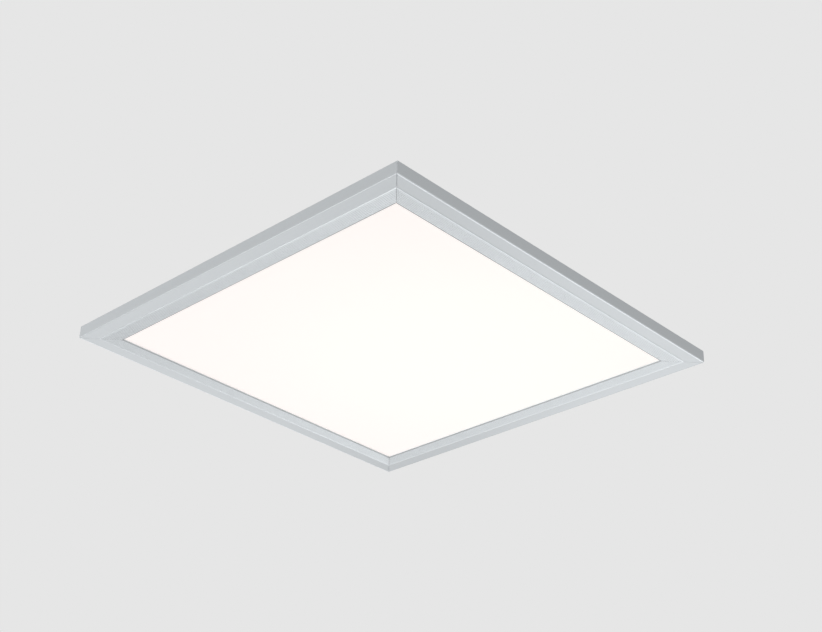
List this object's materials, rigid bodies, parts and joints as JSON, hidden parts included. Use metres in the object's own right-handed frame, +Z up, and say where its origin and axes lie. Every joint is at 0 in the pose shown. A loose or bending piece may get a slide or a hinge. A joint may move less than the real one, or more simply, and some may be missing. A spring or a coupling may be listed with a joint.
{
  "type": "led panel ceiling light",
  "caption": "Square edge-lit LED panel ceiling light: mitred aluminium frame with a ribbed inner band, opal diffuser, driver tray behind, and a bracket that it hooks onto.",
  "frame": {"origin": "on the ceiling plane, midway between the two ceiling screw slots of the bracket", "axes": "+Z up into the ceiling; the panel's sides run along X and Y; the screw slots lie along X"},
  "size_m": [0.295, 0.295, 0.046],
  "materials": {
    "satin_aluminium": "satin anodised extrusion, fine lengthwise lines",
    "opal_diffuser": "opal, lit from behind",
    "clear_acrylic": "clear, polished edges",
    "white_film": "matt white film",
    "white_foam": "closed-cell foam sheet",
    "led_board_white": "white solder mask",
    "led_phosphor": "phosphor-filled silicone",
    "galvanised_steel": "galvanised sheet with faint spangle",
    "white_powder_coat": "white powder coat, fine texture",
    "zinc_plated_steel": "bright zinc plate",
    "bright_rivet": "bright aluminium",
    "nickel_plate": "nickel plate, knurled",
    "grey_rubber": "soft black rubber",
    "driver_white": "moulded, lightly grained",
    "board_green": "green solder mask",
    "transformer_core": "dark ferrite with wrapped winding",
    "choke_copper": "enamelled copper winding",
    "capacitor_sleeve": "shrunk sleeve",
    "fuse_brown": "moulded cap",
    "chip_black": "moulded package",
    "terminal_grey": "moulded, lightly grained",
    "release_orange": "moulded",
    "contact_brass": "stamped strip",
    "tinned_lug": "tinned copper",
    "lead_white": "smooth sheath",
    "lead_brown": "smooth insulation",
    "lead_blue": "smooth insulation",
    "lead_green": "green and yellow striped insulation",
    "clip_white": "moulded"
  },
  "bodies": {
    "ceiling_mount": {"ceiling_bracket": "galvanised_steel", "bracket_arm_left": "galvanised_steel", "bracket_arm_right": "galvanised_steel", "hook_studs": "zinc_plated_steel", "cable_bush": "grey_rubber"},
    "light_unit": {"frame_side_front": "satin_aluminium", "frame_side_right": "satin_aluminium", "frame_side_back": "satin_aluminium", "frame_side_left": "satin_aluminium", "diffuser_plate": "opal_diffuser", "light_guide_plate": "clear_acrylic", "reflector_sheet": "white_film", "foam_pad": "white_foam", "led_board_left": "led_board_white", "led_board_right": "led_board_white", "led_chips_left": "led_phosphor", "led_chips_right": "led_phosphor", "corner_key_front_left": "galvanised_steel", "corner_key_front_right": "galvanised_steel", "corner_key_back_left": "galvanised_steel", "corner_key_back_right": "galvanised_steel", "housing_tray": "white_powder_coat", "back_cover": "white_powder_coat", "cover_screws": "zinc_plated_steel", "tray_studs": "zinc_plated_steel", "stud_nuts": "zinc_plated_steel", "press_nut_left": "zinc_plated_steel", "press_nut_right": "zinc_plated_steel", "tray_rivets": "bright_rivet", "lead_grommet": "grey_rubber", "driver_base": "driver_white", "driver_cover": "driver_white", "driver_board": "board_green", "driver_transformer": "transformer_core", "driver_choke": "choke_copper", "driver_input_capacitor": "capacitor_sleeve", "driver_output_capacitor": "capacitor_sleeve", "driver_fuse": "fuse_brown", "driver_switch": "chip_black", "terminal_body": "terminal_grey", "terminal_contacts": "contact_brass", "earth_lug": "tinned_lug", "strip_link_lead": "lead_white", "led_lead": "lead_white", "live_lead": "lead_brown", "neutral_lead": "lead_blue", "earth_lead": "lead_green", "lead_clip": "clip_white"},
    "lock_screw_left": {"lock_screw_left": "nickel_plate"},
    "lock_screw_right": {"lock_screw_right": "nickel_plate"},
    "terminal_button_earth": {"terminal_button_earth": "release_orange"},
    "terminal_button_neutral": {"terminal_button_neutral": "release_orange"},
    "terminal_button_live": {"terminal_button_live": "release_orange"}
  },
  "joints": [
    {"name": "unhook_slide", "type": "slide", "parent": "ceiling_mount", "child": "light_unit", "axis": [0, 1, 0], "range_m": [0, 0.01]},
    {"name": "lock_screw_left_out", "type": "slide", "parent": "light_unit", "child": "lock_screw_left", "axis": [-1, 0, 0], "range_m": [0, 0.006]},
    {"name": "lock_screw_right_out", "type": "slide", "parent": "light_unit", "child": "lock_screw_right", "axis": [1, 0, 0], "range_m": [0, 0.006]},
    {"name": "press_earth_button", "type": "slide", "parent": "light_unit", "child": "terminal_button_earth", "axis": [0, 0, -1], "range_m": [0, 0.0015], "stiffness_N_per_m": 400},
    {"name": "press_neutral_button", "type": "slide", "parent": "light_unit", "child": "terminal_button_neutral", "axis": [0, 0, -1], "range_m": [0, 0.0015], "stiffness_N_per_m": 400},
    {"name": "press_live_button", "type": "slide", "parent": "light_unit", "child": "terminal_button_live", "axis": [0, 0, -1], "range_m": [0, 0.0015], "stiffness_N_per_m": 400}
  ]
}
